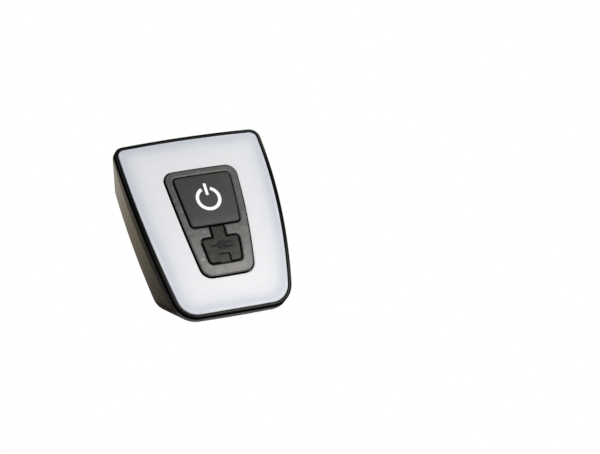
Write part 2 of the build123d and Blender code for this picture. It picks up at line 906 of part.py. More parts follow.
# Clip: the spring arm's side profile, shared by the fixed root and the free arm
lean = radians(leg_lean)
tip_y = bend_corner_y - leg_length * sin(lean)
tip_z = bend_corner_z - leg_length * cos(lean)
arm_root_y = -plate_pocket / 2
arm_slope = (bend_corner_z - arm_root_z) / bend_corner_y
knuckle_z = arm_root_z + arm_slope * knuckle_y
knuckle_radius = clip_thickness / 2
leg_plane = Plane(origin=(0, bend_corner_y, bend_corner_z), x_dir=(1, 0, 0), z_dir=(0, cos(lean), -sin(lean)))
with BuildSketch() as clip_profile:
    with BuildLine():
        FilletPolyline(
            (arm_root_y, arm_root_z + arm_slope * arm_root_y),
            (bend_corner_y, bend_corner_z),
            (tip_y, tip_z),
            radius=bend_radius,
        )
    trace(line_width=clip_thickness)
with BuildSketch() as root_side:
    with Locations((knuckle_y / 2, arm_root_z)):
        Rectangle(knuckle_y, bend_corner_z)
with BuildSketch() as root_profile:
    add(clip_profile.sketch)
    add(root_side.sketch, mode=Mode.INTERSECT)
    with Locations((knuckle_y, knuckle_z)):
        Circle(knuckle_radius + knuckle_gap, mode=Mode.SUBTRACT)
with BuildSketch() as arm_profile:
    add(clip_profile.sketch)
    with Locations((knuckle_y - beyond / 2, 0)):
        Rectangle(beyond, beyond, mode=Mode.SUBTRACT)
    with Locations((knuckle_y, knuckle_z)):
        Circle(knuckle_radius)

barb_length = hypot(barb_tip_y, barb_tip_z - barb_foot_z)
barb_heading = degrees(atan2(barb_tip_z - barb_foot_z, barb_tip_y))
head_depth = clip_screw_head_radius - clip_screw_radius
screw_centre = (0, plate_proud, clip_screw_z)
with BuildPart() as clip_plate:
    add(prism(plate_outline(), -plate_proud, plate_pocket))
    with BuildSketch(Plane.YZ):
        add(root_profile.sketch)
    extrude(amount=clip_width / 2, both=True)
    with BuildSketch(Plane.YZ):
        with Locations((barb_tip_y / 2, (barb_tip_z + barb_foot_z) / 2)):
            Rectangle(barb_length, barb_thickness, rotation=barb_heading)
    extrude(amount=barb_width / 2, both=True)
    with Locations(Plane(origin=screw_centre, z_dir=(0, 1, 0))):
        CounterSinkHole(
            clip_screw_radius + clip_screw_fit, clip_screw_head_radius + clip_screw_fit,
            depth=2 * plate_thickness, counter_sink_angle=90,
        )
clip_plate.part.label = "clip_plate"

with BuildPart() as clip_arm:
    with BuildSketch(Plane.YZ):
        add(arm_profile.sketch)
    extrude(amount=clip_width / 2, both=True)
    with BuildSketch(leg_plane):
        with Locations((0, slot_from_corner + slot_length / 2)):
            RectangleRounded(slot_width, slot_length, slot_radius)
    extrude(amount=clip_thickness, both=True, mode=Mode.SUBTRACT)
    tip_corners = clip_arm.edges().filter_by(Axis((0, 0, 0), leg_plane.z_dir)).sort_by(Axis.Z)[:2]
    fillet(tip_corners, leg_tip_radius)
    outer_face = clip_arm.faces().filter_by(GeomType.PLANE).sort_by(Axis((0, 0, 0), leg_plane.z_dir))[-1]
    bend_line = outer_face.edges().sort_by(Axis.Z)[-1]
    chamfer([edge for edge in outer_face.edges() if edge != bend_line], leg_edge_chamfer)
clip_arm.part.label = "clip_arm"

with BuildPart() as clip_screw:
    with BuildSketch(Plane.YZ):
        with BuildLine():
            Polyline(
                (plate_proud, clip_screw_z),
                (plate_proud, clip_screw_z + clip_screw_head_radius),
                (plate_proud - head_depth, clip_screw_z + clip_screw_radius),
                (plate_proud - clip_screw_length, clip_screw_z + clip_screw_radius),
                (plate_proud - clip_screw_length, clip_screw_z),
                close=True,
            )
        make_face()
    revolve(axis=Axis((0, 0, clip_screw_z), (0, 1, 0)))
clip_screw.part.label = "clip_screw"

with BuildPart() as clip_nut:
    add(prism(circles_at(nut_place, nut_radius), nut_rear_depth, nut_front_depth))
    add(prism(circles_at(nut_place, clip_screw_radius), nut_rear_depth, nut_front_depth), mode=Mode.SUBTRACT)
clip_nut.part.label = "clip_nut"

pieces = [
    rear_housing, housing_seal, front_bezel, diffuser_lens, centre_panel, power_button, button_gasket,
    port_flap, flap_anchor, led_board, led_chips, reflector, switch_body, switch_plunger, charge_port,
    port_tongue, main_board, charge_chip, driver_chip, power_inductor, chip_capacitors, board_connector,
    inner_frame, frame_screws, panel_screws, battery_cell, battery_pad, battery_leads,
    clip_plate, clip_arm, clip_screw, clip_nut,
]
os.makedirs("parts", exist_ok=True)
for piece in pieces:
    export_step(piece.part, f"parts/{piece.part.label}.step")
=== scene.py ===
import json
from collections import namedtuple
from math import atan2, cos, hypot, pi, radians, sin, sqrt, tan

import bmesh
import bpy
from mathutils import Matrix, Vector


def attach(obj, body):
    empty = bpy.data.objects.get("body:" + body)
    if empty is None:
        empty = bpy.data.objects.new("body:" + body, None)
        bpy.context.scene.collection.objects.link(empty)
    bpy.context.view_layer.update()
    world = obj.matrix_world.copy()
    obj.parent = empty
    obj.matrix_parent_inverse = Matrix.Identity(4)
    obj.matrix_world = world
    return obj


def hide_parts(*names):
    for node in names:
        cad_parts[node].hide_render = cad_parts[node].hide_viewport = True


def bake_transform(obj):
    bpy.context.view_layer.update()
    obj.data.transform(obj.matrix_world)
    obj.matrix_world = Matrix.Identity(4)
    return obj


# A rechargeable clip-on tail light. Sizes are in millimetres and turned into metres when a mesh is made.
# -Y is the way the light shines, +Z is up. A set-back is a distance behind the domed face.
MM = 0.001

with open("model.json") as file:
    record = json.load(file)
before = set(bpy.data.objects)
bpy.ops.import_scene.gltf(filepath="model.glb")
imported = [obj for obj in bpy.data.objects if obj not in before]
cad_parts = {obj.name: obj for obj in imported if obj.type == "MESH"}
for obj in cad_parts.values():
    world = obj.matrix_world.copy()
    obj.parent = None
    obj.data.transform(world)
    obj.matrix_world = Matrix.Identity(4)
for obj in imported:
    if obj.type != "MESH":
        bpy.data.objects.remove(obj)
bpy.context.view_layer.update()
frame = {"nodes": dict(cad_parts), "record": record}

# Driving sizes, the same as the model's, but the button stands 0.02 lower, for the print that lies on it
Trapezoid = namedtuple(
    "Trapezoid", "top_width bottom_width height middle_z side_bow bottom_bow top_radius bottom_radius"
)
FACE = Trapezoid(38.7, 28.8, 47.5, -3.6, 1.6, 0.25, 2.5, 6.1)
BACK = Trapezoid(30.7, 25.8, 36.1, 0.3, 0.7, 0.3, 2.8, 4.8)
PANEL = Trapezoid(19.6, 13.6, 29.1, -3.8, 0.5, 0.15, 2.7, 3.1)
BUTTON = Trapezoid(15.2, 13.0, 14.0, 1.8, 0.12, 0.1, 1.2, 1.1)
COVER = Trapezoid(9.8, 8.3, 6.5, -11.65, 0.06, 0.06, 0.9, 0.9)
CROWN_RADIUS = 160.0
CROWN_DEPTH = 21.1
BEZEL_BAND = 1.8
BEZEL_WALL = 0.8
SKIRT_INSET = 1.72
SKIRT_WALL = 1.2
SKIRT_DEPTH = 12.8
LENS_RECESS = 0.1
LENS_REAR = 1.5
LENS_FIT = 0.08
PANEL_GAP = 0.35
PANEL_RISE = 0.3
PANEL_FLANGE = 1.2
PANEL_FLANGE_SETBACK = 1.6
PANEL_REAR = 2.4
BUTTON_GAP = 0.3
BUTTON_RISE = 0.48
BUTTON_FLANGE = 0.7
BUTTON_FLANGE_FRONT = 2.45
BUTTON_REAR = 3.05
STEM_RADIUS = 1.5
STEM_END_DEPTH = 17.45
COVER_RISE = 0.3
COVER_GAP = 0.3
COVER_REAR = 1.3
COVER_FLOOR = 1.42
NECK_HALF = 1.75
NECK_TOP_Z = -5.5
HINGE_Z = -7.0
NOTCH_HALF = 1.4
NOTCH_TOP_Z = -12.7
NOTCH_CORNER = 0.4
NOTCH_FLOOR = 0.3
PORT_Z = -11.7
LEAST_RADIUS = 0.3

# How far the visible edges stand inside the outlines, because the gaps show as broad dark lines
PANEL_SHRINK = 0.35
BUTTON_SHRINK = 0.2
COVER_SHRINK = 0.12

# Play: the panel and the button sit a little up and to the right in their openings
PANEL_PLAY = Vector((0.07, 0.05))
BUTTON_PLAY = Vector((0.1, 0.09))

# Steps of the outlines' corners, sides and straight edges, of rounded edges and of the clip's screw
CORNER_STEPS = 12
SIDE_STEPS = 20
EDGE_STEPS = 16
ROUND_STEPS = 3
SCREW_STEPS = 48

# A narrow flat strip inside each rounded edge keeps the shading of the face flat
BRACE = 0.08

# Limits of the mesh functions: slivers are dissolved, and the mitre of a sharp corner is held back
SLIVER = 0.002
CUT_MERGE = 1e-5
LEAST_LENGTH = 1e-6
LEAST_MITRE = 0.4

# Small roundings of edges, the overlap of a piece's layers, and the room beside a path through an edge
SHARP_EDGE = 0.02
HIDDEN_EDGE = 0.05
OVERLAP = 0.05
PATH_CLEARANCE = 0.3


def crown_y(x, z, setback=0.0):
    """Y of the domed face, or of a surface set back from it."""
    radius = CROWN_RADIUS - setback
    return CROWN_RADIUS - CROWN_DEPTH - sqrt(radius**2 - x**2 - (z - FACE.middle_z) ** 2)


def circle_through(half_chord, sagitta):
    """Radius of an arc from its half chord and its sagitta."""
    return (half_chord**2 + sagitta**2) / (2 * sagitta)


def arc_points(centre, radius, start, end, count):
    """Points on an arc, without its last one."""
    turn = (end - start) / count
    return [
        (centre[0] + radius * cos(start + turn * k), centre[1] + radius * sin(start + turn * k))
        for k in range(count)
    ]


def heading(vector):
    """The vector's angle."""
    return atan2(vector.y, vector.x)


def circles_meet(centre_a, radius_a, centre_b, radius_b):
    """The lower right meeting point of two circles."""
    apart = centre_b - centre_a
    distance = apart.length
    along = (radius_a**2 - radius_b**2 + distance**2) / (2 * distance)
    across = sqrt(max(radius_a**2 - along**2, 0))
    base = centre_a + apart * along / distance
    side = Vector((-apart.y, apart.x)) / distance * across
    return max((base + side, base - side), key=lambda point: point.x - point.y)


def outline(shape, growth=0.0):
    """Points of a bowed trapezoid, clockwise from the end of its top edge, grown all round."""
    height = shape.height + 2 * growth
    top = shape.middle_z + height / 2
    bottom = shape.middle_z - height / 2
    flare = (shape.top_width - shape.bottom_width) / 2 / shape.height
    side_growth = growth * hypot(1, flare)
    half_top = shape.top_width / 2 + side_growth + flare * growth
    half_bottom = shape.bottom_width / 2 + side_growth - flare * growth
    bow_share = (height / shape.height) ** 2
    top_radius = max(shape.top_radius + growth, LEAST_RADIUS)
    bottom_radius = max(shape.bottom_radius + growth, LEAST_RADIUS)

    # The right side's circle, through the two corners and the bowed middle
    middle_x = (half_top + half_bottom) / 2 + shape.side_bow * bow_share
    side_a = Vector((half_bottom, bottom))
    side_b = Vector((half_top, top))
    chord = side_b - side_a
    out = Vector((chord.y, -chord.x)).normalized()
    sagitta = (Vector((middle_x, shape.middle_z)) - (side_a + side_b) / 2).dot(out)
    side_radius = circle_through(chord.length / 2, sagitta)
    side_centre = (side_a + side_b) / 2 - out * (side_radius - sagitta)

    # The bottom's circle
    bottom_sagitta = shape.bottom_bow * bow_share
    low_radius = circle_through(half_bottom, bottom_sagitta)
    low_centre = Vector((0, bottom - bottom_sagitta + low_radius))

    # Centres of the corner arcs, at equal distance from both their neighbours
    top_z = top - top_radius
    reach = sqrt((side_radius - top_radius) ** 2 - (top_z - side_centre.y) ** 2)
    top_corner = Vector((side_centre.x + reach, top_z))
    bottom_corner = circles_meet(
        side_centre, side_radius - bottom_radius, low_centre, low_radius - bottom_radius
    )
    side_start = heading(top_corner - side_centre)
    side_end = heading(bottom_corner - side_centre)
    low_start = heading(bottom_corner - low_centre)

    right = arc_points(top_corner, top_radius, pi / 2, side_start, CORNER_STEPS)
    right += arc_points(side_centre, side_radius, side_start, side_end, SIDE_STEPS)
    right += arc_points(bottom_corner, bottom_radius, side_end, low_start, CORNER_STEPS)
    right += arc_points(low_centre, low_radius, low_start, -pi / 2, EDGE_STEPS // 2)
    right.append((0.0, bottom - bottom_sagitta))
    left = [(-x, z) for x, z in reversed(right[:-1])]
    across = [(-top_corner.x + 2 * top_corner.x * k / EDGE_STEPS, top) for k in range(1, EDGE_STEPS)]
    return right + left + across


def hull_shape(depth):
    """The housing's trapezoid at a depth in front of its back."""
    half_diagonal = hypot(FACE.top_width / 2, FACE.height / 2)
    corner_sag = CROWN_RADIUS - sqrt(CROWN_RADIUS**2 - half_diagonal**2)
    mouth = CROWN_DEPTH - corner_sag - BEZEL_BAND
    share = min(depth / mouth, 1.0)
    return Trapezoid(*(rear + (front - rear) * share for rear, front in zip(BACK, FACE)))


def domed_ring(points, setback):
    """An outline laid on the dome, or on a surface set back from it."""
    return [(x, crown_y(x, z, setback), z) for x, z in points]


def flat_ring(points, depth):
    """An outline at one depth."""
    return [(x, -depth, z) for x, z in points]


def placed(name, build):
    """An object from a mesh under construction."""
    mesh = bpy.data.meshes.new(name)
    build.to_mesh(mesh)
    build.free()
    piece = bpy.data.objects.new(name, mesh)
    bpy.context.scene.collection.objects.link(piece)
    return piece


def mesh_object(name, build, smooth_angle=40):
    """An object from a mesh under construction in millimetres, shaded smooth up to an angle."""
    bmesh.ops.scale(build, vec=(MM, MM, MM), verts=build.verts)
    bmesh.ops.recalc_face_normals(build, faces=build.faces)
    piece = placed(name, build)
    piece.data.shade_smooth()
    piece.data.set_sharp_from_angle(angle=radians(smooth_angle))
    return piece


def strip(build, ring_a, ring_b, mark=0):
    """Quads between two rings of equal length."""
    for k in range(len(ring_a)):
        face = build.faces.new((ring_a[k - 1], ring_a[k], ring_b[k], ring_b[k - 1]))
        face.material_index = mark


def loft(name, rings, closed=False, marks=None, smooth_angle=40):
    """A skin over rings of equal length; it closes on its first ring, or gets two caps."""
    build = bmesh.new()
    rows = [[build.verts.new(point) for point in ring] for ring in rings]
    following = rows[1:] + rows[:1] if closed else rows[1:]
    for k, (row, after) in enumerate(zip(rows, following)):
        strip(build, row, after, marks[k] if marks else 0)
    if not closed:
        build.faces.new(rows[0])
        build.faces.new(rows[-1])
    return mesh_object(name, build, smooth_angle)


def moved_in(loop, distance):
    """A closed loop moved to its left, with mitred corners."""
    result = []
    count = len(loop)
    for k in range(count):
        here = Vector(loop[k])
        before = (here - Vector(loop[k - 1])).normalized()
        after = (Vector(loop[(k + 1) % count]) - here).normalized()
        normal = Vector((-before.y - after.y, before.x + after.x))
        normal = normal.normalized() if normal.length > LEAST_LENGTH else Vector((-before.y, before.x))
        mitre = max(normal.dot(Vector((-before.y, before.x))), LEAST_MITRE)
        result.append(tuple(here + normal * distance / mitre))
    return result


def turned(loop, anticlockwise):
    """The loop in the asked direction."""
    area = sum(loop[k - 1][0] * loop[k][1] - loop[k][0] * loop[k - 1][1] for k in range(len(loop)))
    return loop if (area > 0) == anticlockwise else loop[::-1]


def cut_lines(low, high, spacing):
    """Evenly spaced values between two limits."""
    count = max(int((high - low) / spacing), 1)
    return [low + (high - low) * (k + 0.5) / count for k in range(count)]


def quarter_turn(steps):
    """Angles of a quarter turn, with both its ends."""
    return [pi / 2 * k / steps for k in range(steps + 1)]


def plate(
    name, loops, front, rear, place, edge=0.2, rear_edge=0.0, spacing=1.6, cuts=(), smooth_angle=40, walls=0
):
    """A plate of a plan outline with holes, from one depth to another, with rounded edges.

    The solid is made flat, cut by lines so that it can bend, and then each point is put in its place. The
    walls between the rounded edges can have a material of their own, which paints black shade in the gaps.
    """
    build = bmesh.new()
    turns = quarter_turn(ROUND_STEPS)
    section = [(edge * (1 - cos(t)), front + edge * (1 - sin(t))) for t in turns]
    section.append((edge + BRACE, front))
    if rear_edge:
        rounding = [(rear_edge * (1 - cos(t)), rear - rear_edge * (1 - sin(t))) for t in turns[::-1]]
        section = [(rear_edge + BRACE, rear)] + rounding + section
    else:
        section = [(0, rear)] + section

    # The wall is the strip before the front's rounding and its brace
    wall = len(section) - ROUND_STEPS - 3
    first_edges = []
    last_edges = []
    for number, loop in enumerate(loops):
        loop = turned(loop, number == 0)
        rows = []
        for inset, depth in section:
            points = moved_in(loop, inset) if inset else loop
            rows.append([build.verts.new((u, v, depth)) for u, v in points])
        for k, (row, after) in enumerate(zip(rows, rows[1:])):
            strip(build, row, after, walls if k == wall else 0)
        first_edges += [build.edges.get((rows[0][k - 1], rows[0][k])) for k in range(len(loop))]
        last_edges += [build.edges.get((rows[-1][k - 1], rows[-1][k])) for k in range(len(loop))]
    for edges in (first_edges, last_edges):
        bmesh.ops.triangle_fill(build, edges=edges, use_beauty=True, use_dissolve=False)
    us, vs = zip(*loops[0])
    planes = [((u, 0, 0), (1, 0, 0)) for u in cut_lines(min(us), max(us), spacing)]
    planes += [((0, v, 0), (0, 1, 0)) for v in cut_lines(min(vs), max(vs), spacing)]
    planes += [((0, v, 0), (0, 1, 0)) for v in cuts]
    for centre, normal in planes:
        everything = build.verts[:] + build.edges[:] + build.faces[:]
        bmesh.ops.bisect_plane(build, geom=everything, dist=CUT_MERGE, plane_co=centre, plane_no=normal)
    bmesh.ops.dissolve_degenerate(build, dist=SLIVER, edges=build.edges)
    for vertex in build.verts:
        vertex.co = place(*vertex.co)
    return mesh_object(name, build, smooth_angle)


def moved(points, play):
    """Plan points moved by the play."""
    return [tuple(Vector(point) + play) for point in points]


def on_dome(x, z, setback):
    """A plan point laid on a surface set back from the dome."""
    return (x, crown_y(x, z, setback), z)


def on_back(x, z, depth):
    """A plan point at a depth in front of the housing's back."""
    return (x, -depth, z)


def upright(y, z, x):
    """A point of a plan that stands across the light's middle plane."""
    return (x, y, z)


def joined(name, pieces):
    """One object from several."""
    build = bmesh.new()
    for piece in pieces:
        build.from_mesh(piece.data)
        bpy.data.objects.remove(piece)
    return placed(name, build)


def circle(x, z, radius, count=32):
    """Points of a circle."""
    return arc_points((x, z), radius, 0, 2 * pi, count)


def rounded_box(x, z, half_width, half_height, corner, steps=5):
    """Points of a rectangle with rounded corners."""
    points = []
    for side_x, side_z, start in ((1, 1, 0), (-1, 1, 1), (-1, -1, 2), (1, -1, 3)):
        centre = (x + side_x * (half_width - corner), z + side_z * (half_height - corner))
        for k in range(steps + 1):
            turn = pi / 2 * (start + k / steps)
            points.append((centre[0] + corner * cos(turn), centre[1] + corner * sin(turn)))
    return points


def with_path(loop, half_width, path, below):
    """The loop with the middle of its lower edge replaced by a path from right to left."""
    clear = half_width + PATH_CLEARANCE
    kept = [k for k, (x, z) in enumerate(loop) if not (abs(x) < clear and z < below)]
    gap = next(k for k in range(len(kept)) if kept[k] != kept[k - 1] + 1 and kept[k] != 0)
    points = [loop[k] for k in kept]
    return points[:gap] + path + points[gap:]


# Finishes
def material(name):
    """A new node material with its shader."""
    made = bpy.data.materials.new(name)
    made.use_nodes = True
    return made, made.node_tree, made.node_tree.nodes["Principled BSDF"]


def add_node(tree, kind, **values):
    """A node with its properties, and its inputs set by name."""
    node = tree.nodes.new(kind)
    for key, value in values.items():
        if key in node.inputs:
            node.inputs[key].default_value = value
        else:
            setattr(node, key, value)
    return node


def noise(tree, size, detail=2.0, rough=0.5):
    """Noise with a grain size in millimetres, fixed to the object."""
    place = add_node(tree, "ShaderNodeTexCoord")
    made = add_node(tree, "ShaderNodeTexNoise", Scale=1 / (size * MM), Detail=detail, Roughness=rough)
    tree.links.new(place.outputs["Object"], made.inputs["Vector"])
    return made.outputs["Fac"]


def spread(tree, source, low, high, start=0.0, end=1.0):
    """A value spread over another range."""
    made = add_node(tree, "ShaderNodeMapRange")
    made.inputs["From Min"].default_value = start
    made.inputs["From Max"].default_value = end
    made.inputs["To Min"].default_value = low
    made.inputs["To Max"].default_value = high
    tree.links.new(source, made.inputs["Value"])
    return made.outputs["Result"]


def ramp(tree, source, *stops):
    """A colour ramp with stops of place and colour."""
    made = add_node(tree, "ShaderNodeValToRGB")
    elements = made.color_ramp.elements
    while len(elements) < len(stops):
        elements.new(0.5)
    for element, (position, colour) in zip(elements, stops):
        element.position = position
        element.color = (*colour, 1)
    tree.links.new(source, made.inputs["Fac"])
    return made.outputs["Color"]


def put(tree, value, socket):
    """Gives a socket a link from another node, or a value."""
    if isinstance(value, bpy.types.NodeSocket):
        tree.links.new(value, socket)
    else:
        socket.default_value = value


def math_node(tree, operation, *values):
    """A sum or another operation on links and values."""
    made = add_node(tree, "ShaderNodeMath", operation=operation)
    for value, socket in zip(values, made.inputs):
        put(tree, value, socket)
    return made.outputs[0]


def mix(tree, factor, first, second, blend_type="MIX"):
    """Two colours mixed by a factor."""
    made = add_node(tree, "ShaderNodeMix", data_type="RGBA", blend_type=blend_type)
    for key, value in (("Factor", factor), ("A", first), ("B", second)):
        put(tree, value, made.inputs[key])
    return made.outputs["Result"]


# Noise fields of the plastics: grain size in millimetres, detail and roughness
SLOW_TONE = (9.0, 4.0, 0.6)
BLOTCHES = (1.6, 3.0, 0.65)
SCUFFS = (1.3, 3.0, 0.7)
SCRATCH_LINES = (2.2, 1.0, 0.4)
SCRATCH_PLACES = (1.7, 2.0, 0.5)
SCRATCH_LEVEL = 0.5
SCRATCH_HALF_WIDTH = 0.012
SCRATCH_COLOUR = (0.3, 0.29, 0.28, 1)
FINE_SHARE = 0.35


def plastic(
    name, colour, roughness, grain=0.12, height=0.006, tone=0.12, edge=0.15,
    specular=0.5, blotch=0.0, scuff=0.0, scratch=0.0,
):
    """Moulded plastic or rubber: grained and slightly uneven in tone, with softened edges.

    Blotches change its tone in patches, scuffs are pale spots and scratches are short pale lines.
    """
    made, tree, shader = material(name)
    fine = noise(tree, grain, 2.0, 0.6)
    mixed = math_node(tree, "MULTIPLY_ADD", fine, FINE_SHARE, noise(tree, *SLOW_TONE))
    dark = [c * (1 - tone) for c in colour]
    light = [min(c * (1 + tone), 1) for c in colour]
    shade = ramp(tree, mixed, (0.4, dark), (0.9, light))
    if blotch:
        patch = spread(tree, noise(tree, *BLOTCHES), 1 - blotch, 1 + blotch, 0.3, 0.7)
        shade = mix(tree, 1.0, shade, patch, "MULTIPLY")
    if scuff:
        mark = spread(tree, noise(tree, *SCUFFS), 0, scuff, 0.6, 0.68)
        shade = mix(tree, mark, shade, (*(min(c * 2.5 + 0.02, 1) for c in colour), 1))
    if scratch:
        line = math_node(tree, "COMPARE", noise(tree, *SCRATCH_LINES), SCRATCH_LEVEL, SCRATCH_HALF_WIDTH)
        there = spread(tree, noise(tree, *SCRATCH_PLACES), 0, scratch, 0.56, 0.6)
        shade = mix(tree, math_node(tree, "MULTIPLY", line, there), shade, SCRATCH_COLOUR)
    tree.links.new(shade, shader.inputs["Base Color"])
    tree.links.new(spread(tree, fine, roughness * 0.9, roughness * 1.1), shader.inputs["Roughness"])
    bump = add_node(tree, "ShaderNodeBump", Strength=1.0, Distance=height * MM)
    tree.links.new(fine, bump.inputs["Height"])
    if edge:
        soft = add_node(tree, "ShaderNodeBevel", samples=6, Radius=edge * MM)
        tree.links.new(soft.outputs["Normal"], bump.inputs["Normal"])
    tree.links.new(bump.outputs["Normal"], shader.inputs["Normal"])
    shader.inputs["Specular IOR Level"].default_value = specular
    return made


def metal(name, colour, roughness):
    """Plain or plated metal with a fine uneven surface."""
    made, tree, shader = material(name)
    lines = noise(tree, 0.3, 3.0)
    tree.links.new(spread(tree, lines, roughness * 0.8, roughness * 1.3), shader.inputs["Roughness"])
    shade = ramp(tree, lines, (0.2, [c * 0.85 for c in colour]), (0.8, colour))
    tree.links.new(shade, shader.inputs["Base Color"])
    shader.inputs["Metallic"].default_value = 1.0
    return made


# Tones of the diffuser from its rim inwards, painted light and shade: a light line at the edge, a darker,
# cooler band of painted shade near the rim and white in the middle; the range and the unevenness are in
# millimetres
MILK_RIM_SHADE_RANGE = (0.7, 6.7)
MILK_UNEVENNESS = 1.6
MILK_RIM_SHADE_STOPS = (
    (0.0, (0.70, 0.71, 0.74)),
    (0.06, (0.63, 0.65, 0.70)),
    (0.17, (0.565, 0.59, 0.64)),
    (0.3, (0.62, 0.635, 0.675)),
    (0.55, (0.71, 0.72, 0.74)),
    (1.0, (0.75, 0.755, 0.77)),
)


def milky_painted_rim_shade(name):
    """Diffuser plastic: white in the middle of the ring, with painted shade that makes it cooler and greyer
    near the rim.
    """
    made, tree, shader = material(name)
    rim = add_node(tree, "ShaderNodeAttribute", attribute_name="from_rim").outputs["Fac"]
    uneven = math_node(tree, "MULTIPLY_ADD", noise(tree, 11.0, 2.0), MILK_UNEVENNESS, rim)
    shade = ramp(tree, spread(tree, uneven, 0, 1, *MILK_RIM_SHADE_RANGE), *MILK_RIM_SHADE_STOPS)
    tree.links.new(shade, shader.inputs["Base Color"])
    shader.inputs["Roughness"].default_value = 0.3
    shader.inputs["Specular IOR Level"].default_value = 0.25
    shader.inputs["Subsurface Weight"].default_value = 0.2
    shader.inputs["Subsurface Radius"].default_value = (1.0, 1.0, 1.2)
    shader.inputs["Subsurface Scale"].default_value = 0.6 * MM
    return made


finishes = {
    "housing_plastic": plastic(
        "housing satin", (0.035, 0.032, 0.0275), 0.25, grain=0.14, height=0.0012, edge=0,
        specular=0.45, scuff=0.05,
    ),
    "seal_rubber": plastic("seal rubber", (0.02, 0.02, 0.021), 0.7),
    "bezel_plastic": plastic(
        "bezel gloss", (0.002, 0.002, 0.002), 0.16, height=0.0005, edge=0, specular=0.17
    ),
    "bezel_band": plastic(
        "bezel band", (0.002, 0.002, 0.002), 0.4, height=0.0005, edge=0, specular=0.0
    ),
    "diffuser_plastic": milky_painted_rim_shade("diffuser milk painted rim shade"),
    "panel_plastic": plastic(
        "panel satin", (0.076, 0.073, 0.069), 0.3, grain=0.2, height=0.004, tone=0.22, edge=0,
        specular=0.85, blotch=0.3, scuff=0.4, scratch=0.6,
    ),
    "button_rubber": plastic(
        "button rubber", (0.035, 0.0335, 0.031), 0.4, grain=0.1, height=0.003, edge=0,
        specular=0.55, blotch=0.1,
    ),
    "flap_rubber": plastic(
        "flap rubber", (0.020, 0.019, 0.0165), 0.3, height=0.004, tone=0.25, edge=0,
        specular=0.25, blotch=0.6,
    ),
    "white_board": plastic("white solder mask", (0.8, 0.8, 0.78), 0.4),
    "light_chip": plastic("chip gel", (0.85, 0.78, 0.45), 0.3),
    "reflector_plastic": plastic("reflector white", (0.86, 0.86, 0.86), 0.3),
    "switch_metal": metal("switch steel", (0.6, 0.6, 0.6), 0.3),
    "switch_plastic": plastic("switch black", (0.03, 0.03, 0.03), 0.5),
    "port_steel": metal("port steel", (0.62, 0.62, 0.64), 0.28),
    "green_board": plastic("green solder mask", (0.03, 0.18, 0.07), 0.4),
    "chip_plastic": plastic("chip moulding", (0.02, 0.02, 0.02), 0.6),
    "ferrite": plastic("ferrite", (0.12, 0.12, 0.12), 0.7),
    "capacitor_ceramic": plastic("ceramic", (0.42, 0.3, 0.19), 0.5),
    "frame_plastic": plastic("frame black", (0.04, 0.04, 0.04), 0.55),
    "screw_steel": metal("zinc", (0.55, 0.55, 0.55), 0.35),
    "battery_foil": metal("pouch foil", (0.7, 0.7, 0.72), 0.35),
    "foam": plastic("foam", (0.06, 0.06, 0.06), 0.95, grain=0.4, height=0.08),
    "lead_sleeve": plastic("lead sleeve", (0.45, 0.03, 0.03), 0.5),
    "clip_plastic": plastic(
        "clip satin", (0.056, 0.054, 0.051), 0.36, grain=0.14, height=0.004, scuff=0.1
    ),
    "black_screw": metal("black screw", (0.17, 0.165, 0.16), 0.34),
    "nut_brass": metal("brass", (0.75, 0.58, 0.28), 0.35),
    # The plug sign's faces: painted shade that stands for the shading of the raised sign
    "sign_painted_shade": plastic(
        "sign painted shade", (0.007, 0.0065, 0.006), 0.35, height=0.002, edge=0, specular=0.2
    ),
    # Black walls in the gaps between parts: painted shade, with no reflection
    "gap_painted_shade": plastic(
        "painted gap shade", (0.004, 0.004, 0.004), 0.6, height=0.001, edge=0, specular=0.0
    ),
    "print_white": plastic("white print", (0.94, 0.94, 0.94), 0.5, height=0.001, tone=0.03, edge=0.03),
}

# Every node takes its finish from the record
for entry in frame["record"]["subparts"]:
    node = frame["nodes"][entry["node"]]
    node.data.materials.clear()
    node.data.materials.append(finishes[entry["material_slot"]])


def paint(piece, *names):
    """Gives a piece its finishes, in the order of its faces' marks."""
    for name in names:
        piece.data.materials.append(finishes[name])


def dress(piece, slot, body, *replaced, looks=()):
    """Gives a piece its finishes and body, and hides the nodes that it stands for."""
    paint(piece, *(looks or (slot,)))
    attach(piece, body)
    if replaced:
        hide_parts(*replaced)


# Bezel: a strip in the housing's finish, the black band, its rounded rim and the skirt inside the housing
RIM_EDGE = 0.25
RIM_STEPS = 4
BLACK_BAND = 1.25
GLOSS, BAND, STRIP = range(3)
quarter = quarter_turn(RIM_STEPS)
bezel_section = [(-SHARP_EDGE, BEZEL_BAND), (0, BEZEL_BAND - SHARP_EDGE), (0, BLACK_BAND)]
bezel_section += [(RIM_EDGE * (cos(t) - 1), RIM_EDGE * (1 - sin(t))) for t in quarter]
bezel_section += [(-BEZEL_WALL + RIM_EDGE * (1 - sin(t)), RIM_EDGE * (1 - cos(t))) for t in quarter]
bezel_section += [(-BEZEL_WALL, LENS_REAR), (-SKIRT_INSET - SKIRT_WALL, LENS_REAR)]
bezel_rings = [domed_ring(outline(FACE, growth), setback) for growth, setback in bezel_section]
skirt_shape = hull_shape(SKIRT_DEPTH)
bezel_rings += [
    flat_ring(outline(skirt_shape, -SKIRT_INSET - SKIRT_WALL), SKIRT_DEPTH),
    flat_ring(outline(skirt_shape, -SKIRT_INSET), SKIRT_DEPTH),
    domed_ring(outline(FACE, -SKIRT_INSET), BEZEL_BAND),
]
bezel_marks = [STRIP] * 2 + [BAND] * 3 + [GLOSS] * 8 + [BAND] * 5
bezel = loft("front_bezel_rim", bezel_rings, closed=True, marks=bezel_marks)
dress(
    bezel, "bezel_plastic", "light", "front_bezel",
    looks=("bezel_plastic", "bezel_band", "housing_plastic"),
)

